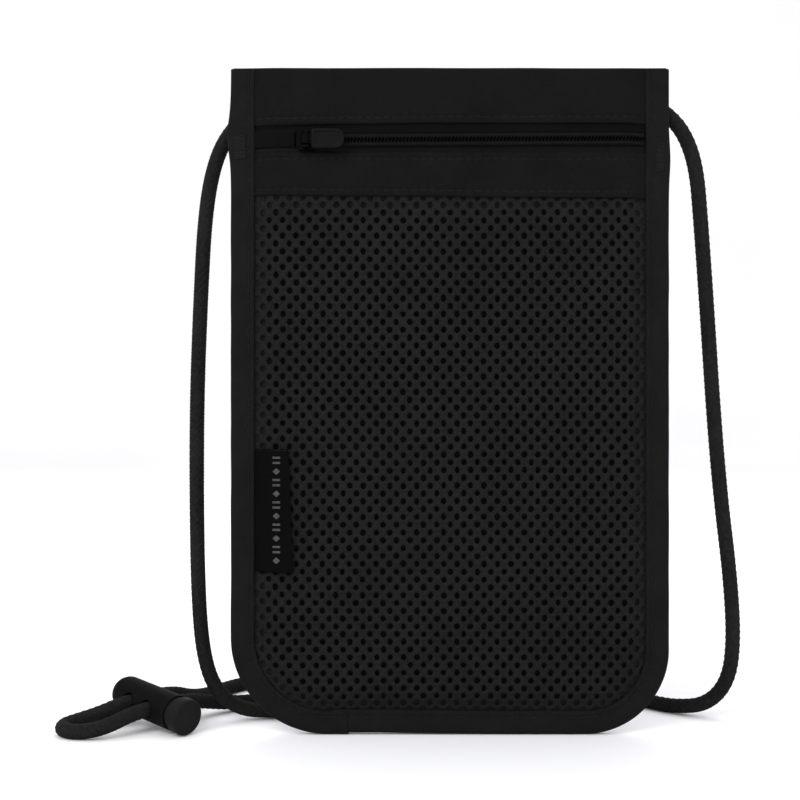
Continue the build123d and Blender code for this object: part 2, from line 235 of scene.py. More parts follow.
class Nodes:
    """Short names for building one node material."""

    def __init__(self, name, roughness, specular):
        self.material = bpy.data.materials.new(name)
        self.material.use_nodes = True
        self.tree = self.material.node_tree
        self.shader = self.tree.nodes["Principled BSDF"]
        self.shader.inputs["Roughness"].default_value = roughness
        self.shader.inputs["Specular IOR Level"].default_value = specular
        coordinates = self.tree.nodes.new("ShaderNodeTexCoord")
        self.place = coordinates.outputs["Object"]
        self.height = None

    def sheen(self, weight):
        self.shader.inputs["Sheen Weight"].default_value = weight
        self.shader.inputs["Sheen Roughness"].default_value = 0.4

    def scaled(self, scale):
        """Object coordinates times a scale, or three scales."""
        node = self.tree.nodes.new("ShaderNodeMapping")
        scale = scale if hasattr(scale, "__len__") else (scale, scale, scale)
        node.inputs["Scale"].default_value = scale
        self.tree.links.new(self.place, node.inputs["Vector"])
        return node.outputs["Vector"]

    def noise(self, size_mm, detail, stretch=(1, 1, 1)):
        node = self.tree.nodes.new("ShaderNodeTexNoise")
        node.inputs["Scale"].default_value = 1.0
        node.inputs["Detail"].default_value = detail
        scale = tuple(1 / (size_mm * MM * s) for s in stretch)
        self.tree.links.new(self.scaled(scale), node.inputs["Vector"])
        return node.outputs["Fac"]

    def wave(self, pitch_mm, axis, distortion):
        """Bands across an axis, from 0 to 1."""
        node = self.tree.nodes.new("ShaderNodeTexWave")
        node.wave_type = "BANDS"
        node.bands_direction = axis
        node.inputs["Scale"].default_value = math.pi / 10
        node.inputs["Distortion"].default_value = distortion
        node.inputs["Detail"].default_value = 1.0
        self.tree.links.new(self.scaled(1 / (pitch_mm * MM)), node.inputs["Vector"])
        return node.outputs["Fac"]

    def math(self, operation, a, b):
        node = self.tree.nodes.new("ShaderNodeMath")
        node.operation = operation
        for socket, value in zip(node.inputs, (a, b)):
            if isinstance(value, (int, float)):
                socket.default_value = value
            else:
                self.tree.links.new(value, socket)
        return node.outputs["Value"]

    def blend(self, a, b, share):
        """A share of one value and the rest of another."""
        return self.math("ADD", self.math("MULTIPLY", a, share), self.math("MULTIPLY", b, 1 - share))

    def add_height(self, value, share):
        part = self.math("MULTIPLY", value, share)
        self.height = part if self.height is None else self.math("ADD", self.height, part)

    def colour(self, factor, dark, light, low=0.3, high=0.7):
        """Base colour between two greys, as a factor goes from low to high."""
        node = self.tree.nodes.new("ShaderNodeValToRGB")
        node.color_ramp.elements[0].position = low
        node.color_ramp.elements[1].position = high
        node.color_ramp.elements[0].color = (*grey(dark), 1)
        node.color_ramp.elements[1].color = (*grey(light), 1)
        self.tree.links.new(factor, node.inputs["Fac"])
        self.tree.links.new(node.outputs["Color"], self.shader.inputs["Base Color"])

    def roughness(self, factor, low, high):
        node = self.tree.nodes.new("ShaderNodeMapRange")
        node.inputs["To Min"].default_value = low
        node.inputs["To Max"].default_value = high
        self.tree.links.new(factor, node.inputs["Value"])
        self.tree.links.new(node.outputs["Result"], self.shader.inputs["Roughness"])

    def bump(self, depth_mm):
        """Surface relief from the heights added so far; gives the finished material."""
        node = self.tree.nodes.new("ShaderNodeBump")
        node.inputs["Distance"].default_value = depth_mm * MM
        node.inputs["Strength"].default_value = 1.0
        self.tree.links.new(self.height, node.inputs["Height"])
        self.tree.links.new(node.outputs["Normal"], self.shader.inputs["Normal"])
        return self.material


def woven(name, dark, light, pitch, sheen=0.01, specular=0.035):
    """Plain weave in the X-Z plane: crossing threads, small slubs and worn patches."""
    n = Nodes(name, 0.85, specular)
    n.sheen(sheen)
    warp = n.wave(pitch, "X", 0.6)
    weft = n.wave(pitch * 1.1, "Z", 0.6)
    cross = n.math("MULTIPLY", warp, weft)
    slub = n.noise(pitch * 1.6, 3.0)
    patch = n.noise(14.0, 3.0)
    n.add_height(cross, 0.6)
    n.add_height(slub, 0.35)
    n.colour(n.blend(slub, patch, 0.55), dark, light)
    n.roughness(patch, 0.77, 0.93)
    return n.bump(0.05)


def ribbed(name, dark, light, pitch):
    """Binding tape: fine diagonal ribs with a soft nap."""
    n = Nodes(name, 0.8, 0.03)
    n.sheen(0.01)
    rib = n.wave(pitch, "DIAGONAL", 1.2)
    slub = n.noise(0.7, 3.0)
    patch = n.noise(9.0, 3.0)
    n.add_height(rib, 0.5)
    n.add_height(slub, 0.5)
    n.colour(n.blend(slub, patch, 0.5), dark, light)
    return n.bump(0.06)


def knitted(name, dark, light):
    """Spacer mesh: rounded yarns between the holes, with a fine fibre grain."""
    n = Nodes(name, 0.8, 0.03)
    n.sheen(0.01)
    yarn = n.noise(0.55, 2.0, (1.0, 1.0, 1.6))
    fibre = n.noise(0.22, 2.0)
    patch = n.noise(22.0, 2.0)
    n.add_height(yarn, 0.7)
    n.add_height(fibre, 0.3)
    n.colour(n.blend(yarn, patch, 0.7), dark, light, 0.32, 0.68)
    return n.bump(0.16)


def braided(name, dark, light):
    """Cord yarns: fibre grain over the braid's own shape, with paler stretches."""
    n = Nodes(name, 0.75, 0.03)
    n.sheen(0.01)
    fibre = n.noise(0.3, 3.0)
    strand = n.noise(1.3, 2.0)
    patch = n.noise(20.0, 2.0)
    n.add_height(fibre, 0.5)
    n.add_height(strand, 0.5)
    n.colour(n.blend(strand, patch, 0.6), dark, light)
    return n.bump(0.12)


def moulded(name, dark, light, roughness, specular, depth=0.01):
    """Moulded plastic or rubber: spark-eroded grain and faint handling marks."""
    n = Nodes(name, roughness, specular)
    smear = n.noise(5.0, 4.0, (1.0, 1.0, 3.0))
    n.add_height(n.noise(0.25, 2.0), 1.0)
    n.colour(smear, dark, light)
    n.roughness(smear, roughness - 0.06, roughness + 0.08)
    return n.bump(depth)


def lacquered(name, dark, light):
    """Lacquered metal, worn lighter in patches."""
    n = Nodes(name, 0.45, 0.04)
    wear = n.noise(0.9, 4.0)
    n.add_height(n.noise(0.4, 2.0), 1.0)
    n.colour(wear, dark, light, 0.45, 0.75)
    n.roughness(wear, 0.38, 0.55)
    return n.bump(0.012)


MATERIALS = {}


def look(name, make, *values, **options):
    MATERIALS[name] = make(name, *values, **options)


look("nylon_shell", woven, 0.0044, 0.0075, 0.42, specular=0.02)
# the end tab's cloth is the shell cloth made darker: painted shade
look("tab_cloth", woven, 0.0028, 0.0044, 0.42, specular=0.02)
look("lining", woven, 0.009, 0.013, 0.35)
look("spacer_mesh", knitted, 0.0065, 0.0118)
look("zipper_tape", woven, 0.0022, 0.0036, 0.6, sheen=0.0)
# the lower tape is the zipper tape made lighter: painted light that offsets the chain's shadow on it
look("zipper_tape_low", woven, 0.0048, 0.0074, 0.6, sheen=0.0)
look("zipper_coil", moulded, 0.0030, 0.0044, 0.55, 0.02)
look("coil_thread", woven, 0.0048, 0.0068, 0.3, sheen=0.0)
look("slider_metal", lacquered, 0.0003, 0.0011)
look("puller_rubber", moulded, 0.0030, 0.0042, 0.45, 0.05, depth=0.02)
look("binding_tape", ribbed, 0.0054, 0.0088, 0.8)
look("label_woven", woven, 0.0018, 0.0027, 0.5, sheen=0.0, specular=0.025)
look("thread", woven, 0.0075, 0.0140, 0.3, specular=0.05)
look("bartack_thread", woven, 0.0085, 0.0150, 0.3, specular=0.05)
look("label_thread", woven, 0.06, 0.10, 0.3)
look("cord_braid", braided, 0.0066, 0.0150)
look("lock_plastic", moulded, 0.0038, 0.0056, 0.5, 0.012)
# the button is the lock's plastic made lighter: painted light on its face
look("lock_button", moulded, 0.0080, 0.0108, 0.45, 0.02)
look("spring_steel", lacquered, 0.2, 0.4)


def finish_piece(obj, body, slot, material=None):
    """Gives a piece its material, the slot's own unless another is named, and the body that it rides
    on.
    """
    obj.data.materials.clear()
    obj.data.materials.append(MATERIALS[material or slot])
    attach(obj, body)
    return obj


# ---- neck cord ----
LOCK_FACE = Vector((-86.0, -1.9, 6.0))
LOCK_AXIS = Vector((-0.763, 0.637, 0.104)).normalized()
HOLE_DIR = Vector((0.641, 0.768, 0.0)).normalized()
HOLE_NEAR = 15.0           # distances of the two cord holes down the lock
HOLE_FAR = 24.5
FLOOR = CORD_D / 2         # height of the cord's centre where it lies on the floor
SEWN_Y = 6.4


def on_lock(distance, along):
    """Point on a cord hole's centre line: distance down the lock, then along the hole."""
    return tuple(LOCK_FACE + LOCK_AXIS * distance + HOLE_DIR * along)


CORD_ROUTE = [
    # down from the left corner
    (-66.0, SEWN_Y, 208.0),
    (-72.8, SEWN_Y, 201.5),
    (-78.6, 6.8, 191.0),
    (-82.0, 7.6, 173.5),
    (-83.7, 8.8, 145.0),
    (-85.2, 10.3, 112.0),
    (-85.6, 11.8, 76.0),
    (-85.2, 13.2, 42.0),
    (-83.6, 14.7, 22.0),
    (-79.4, 16.5, 10.0),
    (-71.5, 18.9, 3.6),
    (-60.5, 21.0, FLOOR),
    # slack folded back on itself behind the pouch
    (-44.0, 21.5, FLOOR),
    (-20.0, 17.5, FLOOR),
    (8.0, 12.5, FLOOR),
    (31.0, 11.5, FLOOR),
    (44.0, 20.0, FLOOR),
    (47.0, 34.5, FLOOR),
    (39.0, 47.5, FLOOR),
    (24.0, 53.0, FLOOR),
    (1.0, 50.0, FLOOR),
    (-26.0, 42.0, FLOOR),
    (-48.0, 38.5, FLOOR),
    (-64.5, 36.5, FLOOR),
    (-75.5, 31.5, 2.8),
    (-82.8, 25.0, 4.6),
    # through the lock's first hole
    on_lock(HOLE_NEAR, 12.0),
    on_lock(HOLE_NEAR, -9.5),
    # small end loop
    (-112.4, -5.0, 3.8),
    (-119.9, -6.0, FLOOR),
    (-126.6, -3.8, FLOOR),
    (-128.5, 2.1, FLOOR),
    (-125.1, 7.2, 2.8),
    (-117.8, 7.7, 5.0),
    # through the lock's second hole
    on_lock(HOLE_FAR, -7.5),
    on_lock(HOLE_FAR, 12.5),
    (-91.0, 33.5, 4.4),
    (-86.0, 46.0, FLOOR),
    (-79.5, 58.5, FLOOR),
    (-69.0, 67.5, FLOOR),
    (-52.0, 71.5, FLOOR),
    (-28.0, 70.0, FLOOR),
    (2.0, 64.5, FLOOR),
    (30.0, 63.0, FLOOR),
    (52.0, 56.5, FLOOR),
    (65.5, 44.5, FLOOR),
    (73.0, 34.0, FLOOR),
    # up to the right corner
    (81.0, 26.8, FLOOR),
    (90.6, 22.0, 4.6),
    (97.4, 20.4, 13.0),
    (99.0, 19.4, 27.5),
    (97.2, 17.6, 50.0),
    (93.4, 15.6, 77.0),
    (90.3, 13.3, 107.0),
    (87.6, 10.8, 140.0),
    (84.8, 8.4, 171.0),
    (83.0, 7.0, 188.5),
    (79.0, 6.5, 199.8),
    (72.8, SEWN_Y, 206.8),
    (66.5, SEWN_Y, 210.8),
]


def route_points(route):
    """Points along the NURBS spline that has the route as its control points, in millimetres."""
    data = bpy.data.curves.new("route", "CURVE")
    data.dimensions = "3D"
    data.resolution_u = 24
    spline = data.splines.new("NURBS")
    spline.points.add(len(route) - 1)
    for point, place in zip(spline.points, route):
        point.co = (*(c * MM for c in place), 1.0)
    spline.order_u = 3
    spline.use_endpoint_u = True
    obj = bpy.data.objects.new("route", data)
    bpy.context.scene.collection.objects.link(obj)
    bpy.context.view_layer.update()
    line = bpy.data.meshes.new_from_object(obj)
    points = np.array([v.co for v in line.vertices]) / MM
    bpy.data.objects.remove(obj)
    bpy.data.meshes.remove(line)
    return points


def even_points(points, spacing):
    """The same line with points an even distance apart."""
    steps = np.linalg.norm(np.diff(points, axis=0), axis=1)
    along = np.concatenate([[0.0], np.cumsum(steps)])
    count = int(along[-1] / spacing)
    wanted = np.linspace(0.0, along[-1], count + 1)
    return np.stack([np.interp(wanted, along, points[:, k]) for k in range(3)], axis=1), along[-1]


def line_frames(points):
    """Tangent and two turning-free normals at each point of a line."""
    tangents = np.gradient(points, axis=0)
    tangents /= np.linalg.norm(tangents, axis=1)[:, None]
    normal = np.cross(tangents[0], (0.0, 1.0, 0.0))
    normal /= np.linalg.norm(normal)
    normals = []
    for t in tangents:
        normal = normal - t * np.dot(normal, t)
        normal /= np.linalg.norm(normal)
        normals.append(normal)
    normals = np.array(normals)
    return tangents, normals, np.cross(tangents, normals)


BRAID_CARRIERS = 8         # strands in each direction
BRAID_PITCH = 2.3          # length of cord over which the braid moves on by one strand
BRAID_DEPTH = 0.5
CORD_SIDES = 48
CORD_STEP = 0.56


def braid_height(angle, along):
    """Height of the braid, 0 to 1: two sets of strands that pass over and under each other."""
    turn = BRAID_CARRIERS * angle / (2 * np.pi)
    u = turn + along / BRAID_PITCH
    v = turn - along / BRAID_PITCH
    over = (np.floor(u) + np.floor(v)) % 2 < 0.5
    across = np.where(over, u % 1, v % 1)
    length = np.where(over, v % 1, u % 1)
    crown = 1 - (2 * across - 1) ** 2
    arch = 1 - 0.6 * (2 * length - 1) ** 2
    return np.sqrt(np.clip(crown, 0, 1)) * arch


def make_cord():
    """Braided cord as a mesh along the route's spline."""
    points, length = even_points(route_points(CORD_ROUTE), CORD_STEP)
    _, normals, sides = line_frames(points)
    along = np.linspace(0.0, length, len(points))[:, None]
    angle = np.linspace(0.0, 2 * np.pi, CORD_SIDES, endpoint=False)[None, :]
    radius = CORD_D / 2 + BRAID_DEPTH * (braid_height(angle, along) - 0.85)
    ring = normals[:, None, :] * np.cos(angle)[..., None] + sides[:, None, :] * np.sin(angle)[..., None]
    verts = (points[:, None, :] + ring * radius[..., None]).reshape(-1, 3)
    verts[:, 2] = np.maximum(verts[:, 2], 0.05)
    cord = mesh_object("braided_neck_cord", verts, tube_faces(len(points), CORD_SIDES))
    finish_piece(cord, "pouch", "cord_braid")
    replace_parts(cord, "neck_cord")
    Vector(CORD_ROUTE[0]) * MM


make_cord()


# ---- shell: top band, fold over the top, back panel ----
COLS = 241
SHELL_T = 0.4
FOLD_R = 1.6
TOP_STITCH_Z = WINDOW_HIGH + 2.1
LOW_STITCH_Z = WINDOW_LOW - 2.3
HEM_STITCH = 1.9           # distance of the lowest row above the band's lower edge
SAG_START = TAB_HIGH.x - 6.0
STITCH_PITCH = 3.0
STITCH_LENGTH = 2.2
BAND_STITCH_X = TAPE_W + 0.6 - HALF_W   # start of the first stitch in each row


def stitch_dip(distance, x, width=0.75, depth=0.34):
    """How far a row of stitches pulls the cloth in, with a small pucker at each stitch."""
    middle = BAND_STITCH_X + STITCH_LENGTH / 2
    pucker = 0.55 - 0.45 * math.cos(2 * math.pi * (x - middle) / STITCH_PITCH)
    return depth * pucker * math.exp(-((distance / width) ** 2))


def top_row(x):
    """Height of the stitches above the window, a little lower on the left."""
    return TOP_STITCH_Z - 0.6 * (1 - smooth_step(x, SAG_START, TAB_HIGH.x + 60.0))


def band_level(x, z):
    """Surface of the plain bands above and below the zipper."""
    level = level_at(x, z, BAND_LEVELS)
    level += 0.16 * wobble(x, z, 17.0, 3.0) + 0.05 * wobble(x, z, 5.0, 5.0)
    level -= stitch_dip(z - top_row(x), x)
    level -= stitch_dip(z - LOW_STITCH_Z, x)
    level -= stitch_dip(z - band_bottom(x) - HEM_STITCH, x)
    return level


def band_bottom(x):
    """Lower edge of the lower band, a little lower on the right."""
    return BAND_LOW.z + 0.2 - 1.1 * (x / (2 * HALF_W)) + 0.25 * wobble(x, 0.0, 24.0, 8.0)


def back_level(x, z):
    level = level_at(x, z, BACK_LEVELS)
    level += 0.45 * wobble(x, z, 42.0, 11.0) * smooth_step(inset_of(x, z), TAPE_W, 26.0)
    return level + 0.06 * wobble(x, z, 7.0, 12.0)


def top_height(x):
    """Height of the fold: nearly straight, a little uneven."""
    return HEIGHT + 0.35 + 0.12 * wobble(x, 0.0, 30.0, 20.0)


def make_shell():
    """One sheet: hem inside the window, up the front, over the fold, down the back."""
    inset = 1.0
    points = []

    def add_row(z_of, y_of, height):
        points.append([(x, y_of(x), z_of(x)) for x in across(height, inset, COLS)])

    def edge_z(x):
        sag = 0.7 * (1 - smooth_step(x, SAG_START, TAB_HIGH.x + 45.0))
        return WINDOW_HIGH - sag + 0.12 * wobble(x, 0.0, 11.0, 30.0)

    # hem turned in behind the window's edge
    for rise, behind in ((5.0, 0.95), (2.5, 0.95), (0.35, 0.8), (0.0, 0.45), (0.12, 0.12)):
        add_row(
            lambda x, rise=rise: edge_z(x) + rise,
            lambda x, behind=behind: SEAM_Y - band_level(x, WINDOW_HIGH + 1.0) + behind,
            WINDOW_HIGH,
        )
    fold_start = HEIGHT - FOLD_R
    steps = 24
    for i in range(1, steps + 1):
        share = i / steps
        add_row(
            lambda x, share=share: edge_z(x) + (fold_start - edge_z(x)) * share,
            lambda x, share=share: SEAM_Y - band_level(x, edge_z(x) + (fold_start - edge_z(x)) * share),
            WINDOW_HIGH,
        )
    steps = 8
    for i in range(1, steps):
        angle = math.pi * i / steps
        add_row(
            lambda x, angle=angle: fold_start + (top_height(x) - fold_start) * math.sin(angle) ** 0.8,
            lambda x, angle=angle: SEAM_Y
            - band_level(x, fold_start) * (1 + math.cos(angle)) / 2
            + back_level(x, fold_start) * (1 - math.cos(angle)) / 2,
            fold_start,
        )
    for z in reversed(row_heights(fold_start, step=2.4, inset=inset)):
        add_row(lambda x, z=z: z, lambda x, z=z: SEAM_Y + back_level(x, z), z)
    shell = sheet_object("shell_cloth", points, SHELL_T)
    finish_piece(shell, "pouch", "nylon_shell")
    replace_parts(shell, "shell_panel")


def make_lower_band():
    """Plain band under the zipper, its top edge turned in at the window."""
    inset = 2.0
    xs = across(HEIGHT, inset, COLS)
    points = []
    for up, behind in ((0.5, 0.75), (0.06, 0.6), (0.0, 0.3)):
        row = []
        for x in xs:
            z = band_bottom(x)
            row.append((x, SEAM_Y - band_level(x, z + 0.6) + behind, z + up))
        points.append(row)
    steps = 20
    for i in range(steps + 1):
        share = i / steps
        row = []
        for x in xs:
            z = band_bottom(x) + 0.25 + (WINDOW_LOW - 0.2 - band_bottom(x) - 0.25) * share
            row.append((x, SEAM_Y - band_level(x, z), z))
        points.append(row)
    for down, behind in ((0.0, 0.4), (0.3, 0.8), (2.5, 0.95), (4.5, 0.95)):
        z = WINDOW_LOW - down
        points.append([(x, SEAM_Y - band_level(x, WINDOW_LOW - 1.0) + behind, z) for x in xs])
    band = sheet_object("lower_band_cloth", points, SHELL_T)
    finish_piece(band, "pouch", "nylon_shell")
    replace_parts(band, "lower_band")


make_shell()
make_lower_band()


# ---- linings ----
LINING_TOP = 189.0
LINING_BACK_TOP = HEIGHT - 4.0
LINING_COLS = 61
LINING_T = 0.2


def lining_level(x, z):
    return level_at(x, z, LINING_LEVELS) + 0.1 * wobble(x, z, 15.0, 40.0)


def lining_back_level(x, z):
    return level_at(x, z, LINING_BACK_LEVELS) + 0.1 * wobble(x, z, 25.0, 41.0)


def make_lining(name, node, side, level, top):
    inset = 1.5
    points = []
    for z in row_heights(top, step=4.0, inset=inset):
        xs = across(z, inset, LINING_COLS)
        points.append([(x, SEAM_Y + side * level(x, z), z) for x in xs])
    lining = sheet_object(name, points, LINING_T, offset=0.0)
    finish_piece(lining, "pouch", "lining")
    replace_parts(lining, node)


make_lining("lining_front_cloth", "lining_front", FRONT, lining_level, LINING_TOP)
make_lining("lining_back_cloth", "lining_back", BACK, lining_back_level, LINING_BACK_TOP)


# ---- spacer mesh: a real hole at each place ----
HOLE_PITCH_X = 4.4
HOLE_PITCH_Z = 2.56
HOLE_R = 1.01
MESH_T = 1.3
HOLE_RINGS = (             # radius of a hole at a depth below the surface
    (HOLE_R + 0.14, 0.1),
    (HOLE_R - 0.06, 0.45),
    (HOLE_R - 0.03, MESH_T),
)
HOLE_WIDE = 0.93           # a hole's width and height as shares of its radius
HOLE_TALL = 1.12
CELL_SIDES = 12            # vertices round each hole, two for each side of its cell
CELL_DIP = 0.05            # depth of the knit half-way between two corners of a cell
FIRST_HOLE_Z = 3.0
HOLE_INSET = 4.2           # least distance of a hole inside the outline
LAST_HOLE_Z = BAND_LOW.z + 3.4


def mesh_level(x, z):
    """Surface of the mesh panel, pressed down where the band is sewn over its top edge."""
    level = level_at(x, z, MESH_LEVELS)
    level += 0.30 * wobble(x, z, 38.0, 50.0) * smooth_step(inset_of(x, z), TAPE_W, 30.0)
    under_band = smooth_step(z, BAND_LOW.z - 7.0, BAND_LOW.z - 0.5)
    return level - under_band * (level - level_at(x, z, BAND_LEVELS) + 0.75)


def mesh_shift(x, z):
    """The knit's own slight distortion."""
    return (
        0.35 * wobble(x, z, 34.0, 60.0) + 0.09 * wobble(x, z, 4.0, 61.0),
        0.35 * wobble(x, z, 30.0, 62.0) + 0.09 * wobble(x, z, 4.0, 63.0),
    )


def make_mesh_panel():
    rng = random.Random(7)
    corners = {}
    verts = []
    faces = []

    def surface(x, z, below):
        dx, dz = mesh_shift(x, z)
        level = mesh_level(x + dx, z + dz) - below
        verts.append((x + dx, SEAM_Y - level, z + dz))
        return len(verts) - 1

    def shared(x, z, below):
        key = (round(x * 50), round(z * 50))
        if key not in corners:
            corners[key] = surface(x, z, below)
        return corners[key]

    # the cell round each hole is the six-cornered patch nearer to it than to any other hole
    a = HOLE_PITCH_X / 2
    b = HOLE_PITCH_Z
    side_z = (b * b - a * a) / (2 * b)
    tip_z = (b * b + a * a) / (2 * b)
    hexagon = [(a, side_z), (0.0, tip_z), (-a, side_z), (-a, -side_z), (0.0, -tip_z), (a, -side_z)]
    cell = []
    for p, q in zip(hexagon, hexagon[1:] + hexagon[:1]):
        cell.append((p[0], p[1], 0.0))
        cell.append(((p[0] + q[0]) / 2, (p[1] + q[1]) / 2, CELL_DIP))
    rows = int(HEIGHT / b) + 1
    cols = int(2 * HALF_W / HOLE_PITCH_X) + 2
    for j in range(rows):
        z = FIRST_HOLE_Z + j * b
        for i in range(-cols // 2, cols // 2 + 1):
            x = i * HOLE_PITCH_X + (j % 2) * a
            if inset_of(x, z) < HOLE_INSET or z > LAST_HOLE_Z:
                continue
            rim = [shared(x + px, z + pz, below) for px, pz, below in cell]
            size = 1 + 0.07 * rng.uniform(-1, 1)
            slant = 0.08 * rng.uniform(-1, 1)
            loops = [rim]
            for radius, below in HOLE_RINGS:
                ring = []
                for px, pz, _ in cell:
                    angle = math.atan2(pz, px)
                    wide = radius * size * (HOLE_WIDE + slant)
                    tall = radius * size * (HOLE_TALL - slant)
                    ring.append(surface(x + wide * math.cos(angle), z + tall * math.sin(angle), below))
                loops.append(ring)
            for outer, inner in zip(loops, loops[1:]):
                for k in range(CELL_SIDES):
                    m = (k + 1) % CELL_SIDES
                    faces.append((outer[k], outer[m], inner[m], inner[k]))
    panel = mesh_object("spacer_mesh_front", verts, [tuple(reversed(f)) for f in faces])
    finish_piece(panel, "pouch", "spacer_mesh")
    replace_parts(panel, "mesh_panel")


make_mesh_panel()


# ---- binding tape ----
BIND_LEVEL = 2.15
BIND_T = 0.5
BIND_TOP = 0.35            # distance of the tape's cut end below the top fold
STITCH_INSET = 6.0
BULGES = {                 # size, height and spread of the bulge over the cord's sewn end
    -1.0: (1.2, 198.0, 7.5),
    1.0: (0.5, 190.0, 7.0),
}


def outline_path(end_x, side, step=1.1):
    """Points down one side and along the bottom to end_x, as (x, z) and the inward normal."""
    corner = corner_of(side)
    path = []
    straight = HEIGHT - corner
    count = int(straight / step)
    top = HEIGHT - BIND_TOP
    straight -= BIND_TOP
    for i in range(count):
        path.append((side * HALF_W, top - straight * i / count, -side, 0.0))
    count = int(corner * math.pi / 2 / step)
    for i in range(count):
        angle = math.pi / 2 * i / count
        x = side * (HALF_W - corner + corner * math.cos(angle))
        path.append((x, corner - corner * math.sin(angle), -side * math.cos(angle), math.sin(angle)))
    flat = abs(end_x - side * (HALF_W - corner))
    count = int(flat / step)
    for i in range(count + 1):
        path.append((side * (HALF_W - corner - flat * i / count), 0.0, 0.0, 1.0))
    return path


def bind_profile(tuck):
    """Section of the folded tape as (inset, level): front face, round edge, back face."""
    front = [
        (8.0, 1.72), (7.93, 2.02), (7.7, 2.2), (7.0, 2.2), (6.4, 2.12), (6.0, 2.05),
        (5.6, 2.12), (5.0, 2.22), (4.0, 2.28), (3.0, 2.3), (2.0, 2.28), (1.2, 2.15),
    ]
    edge = [(0.55, 1.75), (0.16, 1.15), (0.0, 0.4), (0.0, -0.4), (0.16, -1.15), (0.55, -1.75)]
    back = [(i, -level) for i, level in reversed(front)]
    return [(inset + tuck, level * (1 - 0.1 * tuck)) for inset, level in front + edge + back]


def bulge_at(side, z):
    """How far the cord's sewn end pushes the pouch's edge out."""
    size, height, spread = BULGES[side]
    return size * math.exp(-(((z - height) / spread) ** 2))


def make_binding(name, node, side, end_x, tuck):
    path = outline_path(end_x, side)
    points = []
    along = 0.0
    previous = path[0]
    for x, z, nx, nz in path:
        along += math.hypot(x - previous[0], z - previous[1])
        previous = (x, z)
        corner = smooth_step(nz, 0.05, 0.35) * smooth_step(abs(nx), 0.05, 0.35)
        lap = tuck * smooth_step(-x, -20.0, -LAP_X)
        out = bulge_at(side, z) * abs(nx) + 0.12 * wobble(along, side * 9.0, 13.0, 70.0)
        out = min(out, z - 0.02) if nz > 0.5 else out
        row = []
        for inset, level in bind_profile(lap):
            inner = smooth_step(inset, 3.0, 8.0)
            gather = 0.16 * corner * inner * math.sin(2 * math.pi * along / 4.6)
            near_row = math.exp(-((inset - STITCH_INSET) ** 2))
            pucker = 0.05 * math.cos(2 * math.pi * along / STITCH_PITCH) * near_row
            soft = 0.09 * wobble(along, inset * 3, 8.0, 71.0 + side)
            far = 1 if level > 0 else -1
            depth = level + far * (gather + pucker + soft)
            shift = inset - out * (1 - inner) + 0.12 * inner * wobble(along, 0.0, 6.0, 75.0 + side)
            row.append((x + nx * shift, SEAM_Y - depth, max(z + nz * shift, 0.02)))
        points.append(row)
    tape = sheet_object(name, points, BIND_T, offset=side)
    finish_piece(tape, "pouch", "binding_tape")
    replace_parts(tape, node)


make_binding("binding_tape_left", "binding_left", -1.0, LAP_X, 0.0)
make_binding("binding_tape_right", "binding_right", 1.0, LAP_X - 5.0, 0.45)


# ---- stitches ----
STITCH_R = 0.17
STITCH_SHARE = 0.8         # share of the pitch that a stitch along the bindings covers
RING_SIDES = 6
STITCH_STATIONS = (        # place along a stitch, share of its arch and share of its radius
    (0.0, -0.12, 0.55),
    (0.12, 0.3, 0.95),
    (0.5, 1.0, 1.0),
    (0.88, 0.3, 0.95),
    (1.0, -0.12, 0.55),
)


class Threads:
    """Collects short arched stitches into one mesh."""

    def __init__(self):
        self.verts = []
        self.faces = []

    def add(self, start, end, out, radius=STITCH_R, arch=0.16):
        start, end, out = Vector(start), Vector(end), Vector(out).normalized()
        run = (end - start).normalized()
        side = run.cross(out).normalized()
        first = len(self.verts)
        for share, height, width in STITCH_STATIONS:
            centre = start.lerp(end, share) + out * (arch * height)
            for k in range(RING_SIDES):
                angle = 2 * math.pi * k / RING_SIDES
                spoke = side * math.cos(angle) + out * math.sin(angle)
                self.verts.append(centre + spoke * radius * width)
        self.faces += tube_faces(len(STITCH_STATIONS), RING_SIDES, first)

    def make(self, name, slot="thread", material=None):
        obj = mesh_object(name, self.verts, self.faces)
        return finish_piece(obj, "pouch", slot, material)


def band_rows():
    """Three rows of stitches across the bands."""
    threads = Threads()
    rng = random.Random(3)
    count = int(-2 * BAND_STITCH_X / STITCH_PITCH)
    rows = (
        lambda x: top_row(x) + 0.12 * wobble(x, 1.0, 21.0, 80.0),
        lambda x: LOW_STITCH_Z + 0.18 * wobble(x, 2.0, 21.0, 81.0),
        lambda x: band_bottom(x) + HEM_STITCH + 0.15 * wobble(x, 3.0, 17.0, 82.0),
    )
    for height in rows:
        for i in range(count):
            x = BAND_STITCH_X + STITCH_PITCH * i + 0.12 * rng.uniform(-1, 1)
            length = STITCH_LENGTH + 0.2 * rng.uniform(-1, 1)
            z0 = height(x) + 0.06 * rng.uniform(-1, 1)
            z1 = height(x + length) + 0.06 * rng.uniform(-1, 1)
            start = (x, SEAM_Y - band_level(x, z0) - 0.02, z0)
            end = (x + length, SEAM_Y - band_level(x + length, z1) - 0.02, z1)
            radius = STITCH_R * (1 + 0.2 * rng.uniform(-1, 1))
            threads.add(start, end, (0, -1, 0), radius=radius)
    threads.make("band_stitches")


def binding_rows():
    """Stitches along the bindings, on the front and on the back."""
    threads = Threads()
    rng = random.Random(5)
    for side, end_x in ((-1.0, LAP_X), (1.0, LAP_X + 1.0)):
        path = outline_path(end_x, side, step=STITCH_PITCH)
        for (x0, z0, nx0, nz0), (x1, z1, nx1, nz1) in zip(path, path[1:]):
            for face in (FRONT, BACK):
                inset = STITCH_INSET + 0.2 * wobble(x0 + z0, face, 18.0, 85.0)
                inset += 0.05 * rng.uniform(-1, 1)
                start = Vector((x0 + nx0 * inset, SEAM_Y + face * BIND_LEVEL, z0 + nz0 * inset))
                end = Vector((x1 + nx1 * inset, SEAM_Y + face * BIND_LEVEL, z1 + nz1 * inset))
                end = start.lerp(end, STITCH_SHARE)
                threads.add(start, end, (0, face, 0))
    threads.make("binding_stitches")


